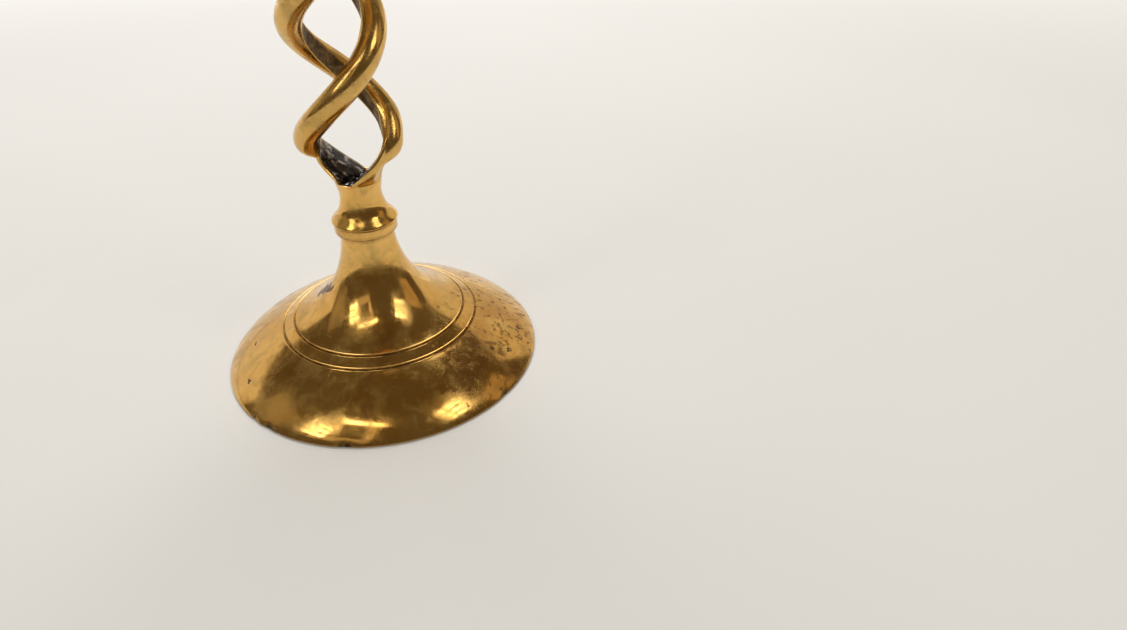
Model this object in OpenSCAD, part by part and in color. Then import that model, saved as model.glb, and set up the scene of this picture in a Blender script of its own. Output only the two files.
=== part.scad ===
// Brass candlestick with an open double-twist stem.
// A hollow domed foot carries a turned neck. Two round rods wind round each
// other from that neck up to a second one, which carries the candle cup.
// Millimetres, +Z up, origin at the middle of the foot's resting face.

/* [Foot] */
// Diameter of the foot at its widest
foot_d = 114; // [100:1:140]
// Height of the foot, from the table to the neck's seat
foot_h = 51.5; // [47:0.5:64]
// Thickness of the cast wall
foot_wall = 2.8; // [2:0.1:3.4]
// Width of the flat ring that the foot rests on
rim_w = 3.2; // [2.5:0.1:4.5]
// Height of the small undercut below the widest line
rim_drop = 0.8; // [0.4:0.1:1.5]
// Radius of the outer turned groove
groove_outer_r = 35.2; // [33:0.1:38]
// Radius of the inner turned groove
groove_inner_r = 30.9; // [28:0.1:32]
// Height of the outer groove above the table
groove_outer_z = 15.6; // [13:0.1:17]
// Height of the inner groove above the table
groove_inner_z = 18.2; // [17.6:0.1:20]
// Depth of both grooves
groove_depth = 0.5; // [0.2:0.05:0.8]
// Radius of the trumpet at its top
trumpet_r = 9.1; // [8.6:0.1:10.5]
// Thickness of the solid boss inside the trumpet's top
boss_h = 11.5; // [10:0.5:14]

/* [Necks] */
// Radius of the flat band next to each seat
band_r = 10.8; // [10.5:0.1:12]
// Height of that band
band_h = 3.4; // [2:0.1:4]
// Largest radius of the round knop
knop_r = 11.3; // [11:0.1:13]
// Height of the knop
knop_h = 3.6; // [3:0.1:6]
// Radius of the neck's waist
waist_r = 7.1; // [6.8:0.1:8]
// Radius of the neck where the rods are brazed on
root_r = 7.8; // [7.2:0.05:9]
// Height of one neck, from its seat to the rods
neck_h = 18.5; // [17:0.5:26]

/* [Twist] */
// Height of the twisted rods
twist_h = 144; // [110:1:200]
// Height in which a rod makes half a turn
half_pitch = 35.5; // [28:0.5:50]
// Distance from the axis to the middle of a rod
twist_r = 12.2; // [11:0.1:16]
// Radius of a rod
rod_r = 4.15; // [3.4:0.05:4.8]
// Half the gap between the two rods where they leave a neck
root_split = 1; // [0.6:0.1:2]
// How far a rod's inner side is flattened, as a share of its radius
rod_flat = 0.14; // [0:0.01:0.3]
// How far the rods bulge out beyond the twist's radius near each neck
bulge = 1; // [0:0.1:2]
// Direction in which the first rod leaves the lower neck
start_angle = 153; // [0:1:360]

/* [Candle cup] */
// Height of the cup, from its seat to its rim
cup_h = 62; // [58:1:80]
// Height of the flat ring at the cup's seat
cup_ring_h = 2.2; // [1.5:0.1:3]
// Diameter of the flared rim
cup_rim_d = 50; // [42:1:58]
// Radius of the cup's round body
cup_body_r = 16.5; // [15:0.1:19]
// Radius of the throat below the flared rim
cup_throat_r = 13.6; // [13.2:0.1:15]
// Radius of the bore that holds the candle
candle_r = 11.1; // [10.5:0.05:12]
// Depth of that bore
candle_depth = 27; // [20:0.5:32]
// Depth of the flared dish above the bore
dish_depth = 7; // [6:0.5:9]

/* [Fastening] */
// Radius of the studs
stud_r = 3; // [2.5:0.1:3.5]
// Length of a neck's spigot
spigot_h = 6; // [4:0.5:8]
// Radius of a spigot
spigot_r = 5.8; // [5:0.1:6.2]
// Radial gap round a spigot
spigot_gap = 0.1; // [0.05:0.05:0.3]
// Radial gap round a stud where it passes through
stud_gap = 0.2; // [0.1:0.05:0.4]
// Radial gap left in a thread
thread_gap = 0.05; // [0.02:0.01:0.1]
// How deep a stud screws into a neck
neck_thread = 9; // [7:0.5:11]
// How deep the upper stud screws into the cup
cup_thread = 9; // [6:0.5:12]
// Thickness of the washer
washer_t = 1.6; // [1:0.1:2.5]
// Radius of the washer
washer_r = 6; // [5.5:0.1:6.5]
// Thickness of the nut
nut_t = 5; // [3:0.1:6]
// Width of the nut across its flats
nut_af = 10; // [8.5:0.5:10.5]
// How far the lower stud stands out of the nut
stud_proud = 2; // [1:0.5:4]

/* [Hidden] */
$fn = 96;
eps = 0.01;

foot_r = foot_d / 2;
neck_seat = foot_h;
twist_base = neck_seat + neck_h;
twist_top = twist_base + twist_h;
cup_seat = twist_top + neck_h;
cup_top = cup_seat + cup_h;
boss_z = foot_h - boss_h;

// Width of the eased edge on a flat band
edge = 0.3;
// Half a groove's width
groove_half = 0.45;
// Steps along one curved stretch of an outline
curve_steps = 14;
// Sides and rings of a rod
rod_sides = 16;
rod_rings = 84;
// Height in which a rod spreads from the neck to the twist's radius
spread_h = 13;
// Height in which its half-round root becomes a full rod
round_h = 10;
// Height in which its rings turn from level to square with the rod
tilt_h = 12;
// Height in which its turning gathers speed, and the angle that this costs
gather_h = 20;
gather_angle = 40;
// Height of the bulge's middle above the neck, and half its height
bulge_at = 19;
bulge_half = 5.5;
// How square the flattened inner side's corners are, 1 being round
inner_power = 0.75;

brass = [0.80, 0.61, 0.27];
steel = [0.55, 0.54, 0.52];

// A point on a cubic curve with four control points, at t from 0 to 1
function cubic(p, t) =
    let (s = 1 - t)
    s * s * s * p[0] + 3 * s * s * t * p[1] + 3 * s * t * t * p[2] + t * t * t * p[3];
function curve(p, n = curve_steps) = [for (i = [0:n]) cubic(p, i / n)];
function mix(a, b, t) = a + (b - a) * t;
function clamp01(t) = min(1, max(0, t));
function unit(v) = v / norm(v);

// Outlines as [radius, height] points -------------------------------------

// A turned groove, as three points on its way inwards and up
function groove_notch(r, z) = [
    [r + groove_half, z - 0.5 * groove_half],
    [r - 0.5 * groove_depth, z - groove_depth],
    [r - groove_half, z + 0.5 * groove_half],
];

// The dome, from the widest line up to the outer groove
function dome_curve(inset) =
    let (
        low = [foot_r - inset, rim_drop],
        high = groove_notch(groove_outer_r, groove_outer_z)[0] - [0.35 * inset, inset],
        run = low[0] - high[0],
        rise = high[1] - low[1]
    )
    curve([low, low + [-0.1 * run, 0.24 * rise], high + [0.6 * run, -0.42 * rise], high]);

// The trumpet, from the inner groove up to the neck's seat
function trumpet_curve(inset) =
    let (
        low = groove_notch(groove_inner_r, groove_inner_z)[2] - [0.5 * inset, 0.9 * inset],
        high = [trumpet_r - inset, foot_h],
        run = low[0] - high[0],
        rise = high[1] - low[1]
    )
    curve([low, low + [-0.5 * run, 0.165 * rise], high + [0.05 * run, -0.57 * rise], high]);

// A flat band with eased edges, from its foot at height 0 up to the height top
function band(top) = [
    [band_r - edge, 0], [band_r, edge], [band_r, top - edge], [band_r - edge, top],
];

// A neck, from its seat at height 0 up to the rods' roots
function neck_curve() =
    let (
        knop_z = band_h + 0.2,
        tip = [waist_r + 1.9, band_h + knop_h],
        lean = [-1, 1.25],
        waist_z = mix(tip[1], neck_h, 0.58)
    )
    concat(
        [[0, 0]],
        band(band_h),
        [[band_r - edge, knop_z]],
        curve([[knop_r, knop_z + 0.3], [knop_r + 0.1, knop_z + 1.4], tip - lean, tip]),
        curve([tip, tip + lean, [waist_r, waist_z - 2.5], [waist_r, waist_z]]),
        curve([
            [waist_r, waist_z], [waist_r, waist_z + 1.5],
            [root_r - 0.3, neck_h - 1.5], [root_r, neck_h],
        ]),
        [[0, neck_h]]
    );

// The cup, from its seat at height 0 up the outside, and down the dish
function cup_curve() =
    let (
        ring_top = cup_ring_h + 0.4,
        stem_r = waist_r + 1.1,
        stem_z = ring_top + 7,
        body_z = mix(stem_z, cup_h, 0.46),
        throat_z = cup_h - dish_depth - 3.5,
        rim_r = cup_rim_d / 2,
        lip = 1
    )
    concat(
        [[0, 0]],
        band(cup_ring_h),
        curve([
            [band_r - 0.8, ring_top], [stem_r, ring_top + 1], [stem_r, stem_z - 3], [stem_r, stem_z],
        ]),
        [[stem_r + 1.6, stem_z + 0.3], [stem_r + 1.9, stem_z + 1], [stem_r + 1.6, stem_z + 1.7]],
        curve([
            [stem_r + 0.9, stem_z + 2], [cup_body_r - 1.5, stem_z + 4],
            [cup_body_r, body_z - 9], [cup_body_r, body_z],
        ]),
        curve([
            [cup_body_r, body_z], [cup_body_r, body_z + 7],
            [cup_throat_r, throat_z - 7], [cup_throat_r, throat_z],
        ]),
        curve([
            [cup_throat_r, throat_z], [cup_throat_r, throat_z + 4.5],
            [rim_r - 6, cup_h - 3], [rim_r - 0.3, cup_h - 1.7],
        ]),
        [[rim_r, cup_h - 1.3], [rim_r, cup_h - 0.4], [rim_r - lip, cup_h]],
        curve([
            [rim_r - 2 * lip, cup_h - 0.4], [rim_r - 7, cup_h - 1.6],
            [candle_r + 1.2, cup_h - 2.5], [candle_r, cup_h - dish_depth],
        ]),
        [[0, cup_h - dish_depth]]
    );

// The rods ----------------------------------------------------------------

// Height above the nearer neck, and 1 near the lower neck or -1 near the upper
function from_neck(h) = min(h, twist_h - h);

function rod_reach(h) =
    let (
        u = from_neck(h),
        swell = bulge * exp(-pow((u - bulge_at) / bulge_half, 2))
    )
    twist_r * pow(sin(90 * clamp01(u / spread_h)), 1.5) + swell;

function lag(u) = gather_angle * pow(1 - clamp01(u / gather_h), 1.4);

function rod_angle(h) =
    start_angle - gather_angle + h * 180 / half_pitch + lag(h) - lag(twist_h - h);

function rod_middle(h, turn) =
    let (a = rod_angle(h) + turn, r = rod_reach(h))
    [r * cos(a), r * sin(a), twist_base + h];

// The ring's own upward direction: straight up at both necks
function rod_up(h, turn) =
    let (
        low = max(0, h - 0.2),
        high = min(twist_h, h + 0.2),
        along = unit(rod_middle(high, turn) - rod_middle(low, turn))
    )
    unit(mix([0, 0, 1], along, clamp01(from_neck(h) / tilt_h)));

// One point of the section at a root: half of the neck's own circle
function root_point(q) =
    let (reach = acos(root_split / root_r))
    cos(q) >= 0
        ? root_r * [cos(reach * turn_of(q) / 90), sin(reach * turn_of(q) / 90)]
        : [root_split, root_r * sin(reach) * sin(q)];

// The same point of the full section: round, with a flattened inner side
function rod_point(q) =
    rod_r * [
        cos(q) >= 0 ? cos(q) : -(1 - rod_flat) * pow(-cos(q), inner_power),
        sin(q)
    ];

// An angle from 0 to 360 as one from -180 to 180
function turn_of(q) = q > 180 ? q - 360 : q;

function rod_ring(h, turn) =
    let (
        a = rod_angle(h) + turn,
        up = rod_up(h, turn),
        flat_out = [cos(a), sin(a), 0],
        out = unit(flat_out - (flat_out * up) * up),
        side = cross(up, out),
        t = clamp01(from_neck(h) / round_h),
        full = t * t * (3 - 2 * t)
    )
    [
        for (i = [0:rod_sides - 1])
        let (q = 360 * i / rod_sides, p = mix(root_point(q), rod_point(q), full))
        rod_middle(h, turn) + p[0] * out + p[1] * side
    ];

module rod(turn) {
    points = [for (j = [0:rod_rings]) each rod_ring(twist_h * j / rod_rings, turn)];
    sides = [
        for (j = [0:rod_rings - 1], i = [0:rod_sides - 1])
        let (a = j * rod_sides + i, b = j * rod_sides + (i + 1) % rod_sides)
        each [[a, a + rod_sides, b + rod_sides], [a, b + rod_sides, b]]
    ];
    last = rod_rings * rod_sides;
    ends = [
        [for (i = [0:rod_sides - 1]) i],
        [for (i = [0:rod_sides - 1]) last + rod_sides - 1 - i],
    ];
    polyhedron(points, concat(sides, ends));
}

// Sub-parts ---------------------------------------------------------------

module foot() {
    outer = concat(
        [[foot_r - rim_w - 0.6, 0], [foot_r - 0.6, 0]],
        dome_curve(0),
        groove_notch(groove_outer_r, groove_outer_z),
        groove_notch(groove_inner_r, groove_inner_z),
        trumpet_curve(0),
        [[0, foot_h]]
    );
    inside = [
        for (p = concat(dome_curve(foot_wall), trumpet_curve(foot_wall)))
        if (p[1] < boss_z && p[0] < foot_r - rim_w - 0.6) p
    ];
    roof_r = trumpet_r - foot_wall + 1.2;
    color(brass)
    difference() {
        rotate_extrude() polygon(concat(
            [[0, boss_z], [roof_r, boss_z]],
            [for (i = [len(inside) - 1:-1:0]) inside[i]],
            outer
        ));
        translate([0, 0, boss_z - eps]) cylinder(r = stud_r + stud_gap, h = boss_h);
        translate([0, 0, foot_h - spigot_h]) cylinder(r = spigot_r + spigot_gap, h = spigot_h + eps);
    }
}

module neck() {
    difference() {
        union() {
            rotate_extrude() polygon(neck_curve());
            translate([0, 0, -spigot_h]) cylinder(r = spigot_r, h = spigot_h + eps);
        }
        translate([0, 0, -spigot_h - eps])
            cylinder(r = stud_r + thread_gap, h = neck_thread + eps);
    }
}

module lower_neck() {
    color(brass) translate([0, 0, neck_seat]) neck();
}

module upper_neck() {
    color(brass) translate([0, 0, cup_seat]) mirror([0, 0, 1]) neck();
}

module foot_stud() {
    low = boss_z - washer_t - nut_t - stud_proud;
    color(steel) translate([0, 0, low])
        cylinder(r = stud_r, h = neck_seat - spigot_h + neck_thread - low);
}

module foot_washer() {
    color(steel) translate([0, 0, boss_z - washer_t]) difference() {
        cylinder(r = washer_r, h = washer_t);
        translate([0, 0, -eps]) cylinder(r = stud_r + stud_gap, h = washer_t + 2 * eps);
    }
}

module foot_nut() {
    color(steel) translate([0, 0, boss_z - washer_t - nut_t]) difference() {
        cylinder(r = nut_af / 2 / cos(30), h = nut_t, $fn = 6);
        translate([0, 0, -eps]) cylinder(r = stud_r + thread_gap, h = nut_t + 2 * eps);
    }
}

module rod_a() {
    color(brass) rod(0);
}

module rod_b() {
    color(brass) rod(180);
}

module cup_stud() {
    low = cup_seat + spigot_h - neck_thread;
    color(steel) translate([0, 0, low]) cylinder(r = stud_r, h = neck_thread + cup_thread);
}

module candle_cup() {
    color(brass) translate([0, 0, cup_seat]) difference() {
        rotate_extrude() polygon(cup_curve());
        translate([0, 0, cup_h - dish_depth - candle_depth])
            cylinder(r = candle_r, h = candle_depth + eps);
        translate([0, 0, -eps]) cylinder(r = spigot_r + spigot_gap, h = spigot_h + eps);
        translate([0, 0, -eps]) cylinder(r = stud_r + thread_gap, h = spigot_h + cup_thread + eps);
    }
}

foot();
lower_neck();
foot_stud();
foot_washer();
foot_nut();
rod_a();
rod_b();
upper_neck();
cup_stud();
candle_cup();
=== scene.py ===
"""Looks of a brass candlestick with an open double-twist stem.

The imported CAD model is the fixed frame. Each visible piece is turned on a
lathe outline or swept along the twist again with fine smooth surfaces, and is
dressed as old polished brass. Outlines are worked out in millimetres, and a
piece becomes metres when it is finished.
"""
import logging
import math
from collections.abc import Callable
from dataclasses import dataclass
from enum import Enum

import bmesh
import bpy
from mathutils import Matrix, Vector, noise


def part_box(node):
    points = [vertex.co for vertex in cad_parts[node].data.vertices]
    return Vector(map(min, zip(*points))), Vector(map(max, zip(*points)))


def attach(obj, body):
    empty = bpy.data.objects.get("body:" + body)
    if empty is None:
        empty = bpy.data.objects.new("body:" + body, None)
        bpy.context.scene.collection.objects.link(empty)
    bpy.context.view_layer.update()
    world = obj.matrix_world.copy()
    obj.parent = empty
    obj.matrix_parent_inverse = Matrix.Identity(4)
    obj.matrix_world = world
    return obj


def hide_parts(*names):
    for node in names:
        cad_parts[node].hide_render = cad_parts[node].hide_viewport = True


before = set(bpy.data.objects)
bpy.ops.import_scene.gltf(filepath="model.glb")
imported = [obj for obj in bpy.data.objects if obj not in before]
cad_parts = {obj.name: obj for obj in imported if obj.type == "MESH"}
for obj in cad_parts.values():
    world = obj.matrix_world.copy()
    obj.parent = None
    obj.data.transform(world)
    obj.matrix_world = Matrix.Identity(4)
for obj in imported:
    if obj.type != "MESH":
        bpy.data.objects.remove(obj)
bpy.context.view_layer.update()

MM = 0.001
ROOT = "root"
LOG = logging.getLogger("candlestick")

Point = tuple[float, float]
Colour = tuple[float, float, float]
# A change from one value to another: where it starts and ends, and both values
Fade = tuple[float, float, float, float]
Socket = bpy.types.NodeSocket
Piece = bpy.types.Object


class Slot(Enum):
    """The record's material slots."""

    BRASS = "brass"
    STEEL = "steel"


# Curves ---------------------------------------------------------------------

def clamp01(t: float) -> float:
    """Limits a share to the range from 0 to 1."""
    return min(1.0, max(0.0, t))


def mix(a: float, b: float, t: float) -> float:
    """Goes from a to b as t goes from 0 to 1."""
    return a + (b - a) * t


def ease(t: float) -> float:
    """Turns a share into one that starts and ends gently."""
    t = clamp01(t)
    return t * t * (3 - 2 * t)


def bell(distance: float, reach: float) -> float:
    """Falls gently from 1 to nothing as a distance passes a reach."""
    return math.exp(-(distance / reach) ** 2)


def off_axis(point: Vector) -> float:
    """The distance of a point from the upright axis."""
    return math.hypot(point.x, point.y)


def curve(controls: list[Point], steps: int = 24) -> list[Point]:
    """Walks a cubic curve.

    Args:
        controls: its four control points.
        steps: how many stretches it is cut into.

    Returns:
        The points from its first control point to its last.
    """
    a, b, c, d = (Vector(p) for p in controls)
    points = []
    for i in range(steps + 1):
        t = i / steps
        s = 1 - t
        p = s ** 3 * a + 3 * s * s * t * b + 3 * s * t * t * c + t ** 3 * d
        points.append((p.x, p.y))
    return points


def flank(low: Vector, high: Vector, handles: tuple[Point, Point], steps: int) -> list[Point]:
    """Walks a curve up a flank that narrows with height.

    Args:
        low: its lower end.
        high: its upper end.
        handles: the pull of the lower and the upper end, as shares of the run and the rise.
        steps: how many stretches it is cut into.

    Returns:
        The points from its lower end to its upper one.
    """
    run, rise = low.x - high.x, high.y - low.y
    start, end = (Vector((across * run, up * rise)) for across, up in handles)
    return curve([low, low + start, high + end, high], steps)


def eased(corner: Point, start: float, radius: float, steps: int = 4) -> list[Point]:
    """Rounds a square corner of an outline with a quarter turn.

    Args:
        corner: the middle of the quarter circle.
        start: the direction of its first point, in degrees.
        radius: its radius.
        steps: how many stretches it is cut into.

    Returns:
        The points of the quarter circle, anticlockwise.
    """
    turns = [math.radians(start + 90 * i / steps) for i in range(steps + 1)]
    return [(corner[0] + radius * math.cos(a), corner[1] + radius * math.sin(a)) for a in turns]


# Meshes ---------------------------------------------------------------------

def turned(*outlines: list[Point], steps: int) -> bmesh.types.BMesh:
    """Spins outlines round the upright axis into a closed mesh.

    Args:
        outlines: the points of each, as radius and height, one outline for each material slot.
        steps: how many faces go round.

    Returns:
        The mesh, with its faces outwards.
    """
    bm = bmesh.new()
    for slot, outline in enumerate(outlines):
        before = set(bm.faces)
        verts = [bm.verts.new((r, 0, z)) for r, z in outline]
        edges = [bm.edges.new(pair) for pair in zip(verts, verts[1:])]
        bmesh.ops.spin(
            bm, geom=verts + edges, cent=(0, 0, 0), axis=(0, 0, 1), dvec=(0, 0, 0),
            angle=math.tau, steps=steps, use_merge=True, use_duplicate=False,
        )
        for face in set(bm.faces) - before:
            face.material_index = slot
    bmesh.ops.remove_doubles(bm, verts=bm.verts, dist=1e-4)
    bmesh.ops.recalc_face_normals(bm, faces=bm.faces)
    return bm


def swing(bm: bmesh.types.BMesh, angle: float) -> None:
    """Turns a mesh round the upright axis by an angle in radians."""
    bmesh.ops.rotate(bm, cent=(0, 0, 0), matrix=Matrix.Rotation(angle, 3, "Z"), verts=bm.verts)


def crisp(bm: bmesh.types.BMesh, limit: float = 32) -> None:
    """Shades a mesh smooth, except across its sharp edges.

    Args:
        bm: the mesh.
        limit: the angle from which an edge is sharp, in degrees.
    """
    for face in bm.faces:
        face.smooth = True
    for edge in bm.edges:
        edge.smooth = edge.calc_face_angle(0) < math.radians(limit)


def paint(bm: bmesh.types.BMesh, **rules: Callable[[Vector], float]) -> None:
    """Stores numbers on each point of a mesh for its material to read.

    Args:
        bm: the mesh.
        rules: each number's name, with the rule from a point to the number.
    """
    for name, rule in rules.items():
        layer = bm.verts.layers.float.new(name)
        for vert in bm.verts:
            vert[layer] = rule(vert.co)


def nowhere(_: Vector) -> float:
    """The rule for something that a piece doesn't have."""
    return 0.0


def in_crevices(crevices: list[tuple[float, float, float]]) -> Callable[[Vector], float]:
    """Makes the rule for how much grime and painted shade sit near some rings.

    Args:
        crevices: each ring's radius, height and reach.

    Returns:
        A function from a point to its share of grime and painted shade.
    """
    def share(point: Vector) -> float:
        """The share of grime and painted shade at a point."""
        return max(bell(math.hypot(off_axis(point) - r, point.z - z), reach) for r, z, reach in crevices)

    return share


def finish_piece(
    bm: bmesh.types.BMesh, name: str, node: str, finishes: list[bpy.types.Material],
) -> Piece:
    """Turns a mesh in millimetres into a piece that stands for a CAD node.

    Args:
        bm: the mesh, which is used up.
        name: the piece's name.
        node: the CAD node that it replaces.
        finishes: its materials, in the order of the faces' slots.

    Returns:
        The new piece, riding on the only body.
    """
    crisp(bm)
    bmesh.ops.scale(bm, vec=(MM, MM, MM), verts=bm.verts)
    mesh = bpy.data.meshes.new(name)
    bm.to_mesh(mesh)
    bm.free()
    for finish in finishes:
        mesh.materials.append(finish)
    piece = bpy.data.objects.new(name, mesh)
    bpy.context.scene.collection.objects.link(piece)
    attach(piece, ROOT)
    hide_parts(node)
    return piece


# Materials ------------------------------------------------------------------

@dataclass(frozen=True)
class Cloud:
    """A soft random pattern: its lumps' size in millimetres, and how its levels become shares."""

    size: float
    detail: float
    rough: float
    twist: float
    low: float
    high: float
    least: float = 0.0
    most: float = 1.0


@dataclass(frozen=True)
class Scratch:
    """Hair-fine lines in one direction, in degrees and thousandths of a millimetre.

    A line shows where the noise is above the rarity, and fades out below it.
    """

    angle: float
    length: float
    width: float
    rarity: float
    lean: Point = (0.2, 0.3)
    fade: float = 0.04


@dataclass(frozen=True)
class Freckle:
    """One size of freckle: its grain, what a worn area adds, and the levels that show."""

    size: float
    rough: float
    gain: float
    low: float
    high: float
    most: float


@dataclass(frozen=True)
class Spot:
    """A dark stain on the foot: its direction in degrees, distance, height and radius."""

    direction: float
    away: float
    height: float
    radius: float

    def middle(self) -> Vector:
        """The stain's middle in metres."""
        a = math.radians(self.direction)
        return Vector((self.away * math.cos(a), self.away * math.sin(a), self.height)) * MM


class Shader:
    """Builds one procedural material, node by node."""

    def __init__(self, name: str, metallic: float) -> None:
        """Starts a material.

        Args:
            name: its name.
            metallic: its metallic value all over.
        """
        self.material = bpy.data.materials.new(name)
        self.material.use_nodes = True
        self.tree = self.material.node_tree
        self.surface = self.tree.nodes["Principled BSDF"]
        self.surface.inputs["Metallic"].default_value = metallic
        self.place = self.node("ShaderNodeTexCoord").outputs["Object"]
        self.x, self.y, self.z = self.node("ShaderNodeSeparateXYZ", {0: self.place}).outputs
        squares = self.plus(self.times(self.x, self.x), self.times(self.y, self.y))
        self.around = self.maths("SQRT", squares)

    def node(self, kind: str, inputs: dict | None = None, **settings: object) -> bpy.types.Node:
        """Adds a node.

        Args:
            kind: Blender's name for it.
            inputs: each input's number or name, with its value or the output to link.
            settings: its other settings.

        Returns:
            The node.
        """
        made = self.tree.nodes.new(kind)
        for key, value in settings.items():
            setattr(made, key, value)
        for key, value in (inputs or {}).items():
            self.feed(made.inputs[key], value)
        return made

    def feed(self, socket: Socket, value: object) -> None:
        """Gives an input its value.

        Args:
            socket: the input.
            value: an output to link, or a number, a vector or a colour to set.
        """
        if isinstance(value, Socket):
            self.tree.links.new(value, socket)
        else:
            socket.default_value = value

    def maths(self, operation: str, *values: Socket | float) -> Socket:
        """Adds a sum of numbers or outputs and returns its result."""
        return self.node("ShaderNodeMath", dict(enumerate(values)), operation=operation).outputs[0]

    def times(self, first: Socket | float, second: Socket | float) -> Socket:
        """Multiplies two numbers."""
        return self.maths("MULTIPLY", first, second)

    def plus(self, first: Socket | float, second: Socket | float) -> Socket:
        """Adds two numbers."""
        return self.maths("ADD", first, second)

    def larger(self, first: Socket | float, second: Socket | float) -> Socket:
        """Takes the larger of two numbers."""
        return self.maths("MAXIMUM", first, second)

    def vector(self, operation: str, inputs: dict, output: str = "Vector") -> Socket:
        """Adds a sum of vectors and returns one of its results."""
        return self.node("ShaderNodeVectorMath", inputs, operation=operation).outputs[output]

    def grain(
        self, size: float, detail: float = 2, rough: float = 0.5, twist: float = 0,
        place: Socket | None = None,
    ) -> Socket:
        """Adds noise.

        Args:
            size: its lumps' size in millimetres.
            detail: how many finer layers it has.
            rough: how strong the finer layers are.
            twist: how much it is bent out of shape.
            place: the coordinates that it reads, or None for the object's own.

        Returns:
            The noise, from 0 to 1.
        """
        return self.node("ShaderNodeTexNoise", {
            "Vector": place or self.place, "Scale": 1 / (size * MM), "Detail": detail,
            "Roughness": rough, "Distortion": twist,
        }).outputs["Fac"]

    def between(self, value: Socket, low: float, high: float, start: float = 0, end: float = 1) -> Socket:
        """Maps a range of a value onto another one, gently and clamped.

        Args:
            value: the value.
            low: where its range starts.
            high: where its range ends.
            start: the result at low.
            end: the result at high.

        Returns:
            The result.
        """
        return self.node("ShaderNodeMapRange", {
            "Value": value, "From Min": low, "From Max": high, "To Min": start, "To Max": end,
        }, interpolation_type="SMOOTHSTEP").outputs["Result"]

    def cloud(self, cloud: Cloud) -> Socket:
        """Adds a soft random pattern and returns its share."""
        level = self.grain(cloud.size, cloud.detail, cloud.rough, cloud.twist)
        return self.between(level, cloud.low, cloud.high, cloud.least, cloud.most)

    def blend(self, share: Socket | float, first: Socket | Colour, second: Socket | Colour) -> Socket:
        """Mixes two colours.

        Args:
            share: how much of the second one shows.
            first: the first colour.
            second: the second colour.

        Returns:
            The mixed colour.
        """
        sides = [(*side, 1) if isinstance(side, tuple) else side for side in (first, second)]
        made = self.node("ShaderNodeMix", data_type="RGBA")
        for number, value in ((0, share), (6, sides[0]), (7, sides[1])):
            self.feed(made.inputs[number], value)
        return made.outputs[2]

    def stored(self, name: str) -> Socket:
        """Reads a number painted on the mesh."""
        return self.node("ShaderNodeAttribute", attribute_name=name).outputs["Fac"]

    def scratches(self, marks: tuple[Scratch, ...]) -> Socket:
        """Adds short fine lines, too small to be seen one by one.

        Args:
            marks: the lines of each direction.

        Returns:
            1 on a line and 0 off it.
        """
        total = None
        for mark in marks:
            length, width = mark.length * MM, mark.width * MM
            stretched = self.node("ShaderNodeMapping", {
                "Vector": self.place, "Rotation": (*mark.lean, math.radians(mark.angle)),
                "Scale": (1 / length, 1 / width, 1 / length),
            }).outputs[0]
            level = self.grain(1, 1, 0.4, 0.25, stretched)
            line = self.between(level, mark.rarity, mark.rarity + mark.fade)
            total = line if total is None else self.larger(total, line)
        return total

    def roughen(self, *layers: tuple[Socket, float]) -> None:
        """Chains height layers into the surface's normal.

        Args:
            layers: each one's height, with its depth in millimetres.
        """
        normal = None
        for height, depth in layers:
            inputs = {"Height": height, "Distance": depth * MM, "Strength": 1.0}
            if normal:
                inputs["Normal"] = normal
            normal = self.node("ShaderNodeBump", inputs).outputs[0]
        self.tree.links.new(normal, self.surface.inputs["Normal"])

    def dress(self, colour: Socket, roughness: Socket | float) -> bpy.types.Material:
        """Finishes the material.

        Args:
            colour: its colour.
            roughness: its roughness, or one number all over.

        Returns:
            The material.
        """
        self.feed(self.surface.inputs["Base Color"], colour)
        self.feed(self.surface.inputs["Roughness"], roughness)
        return self.material


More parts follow.
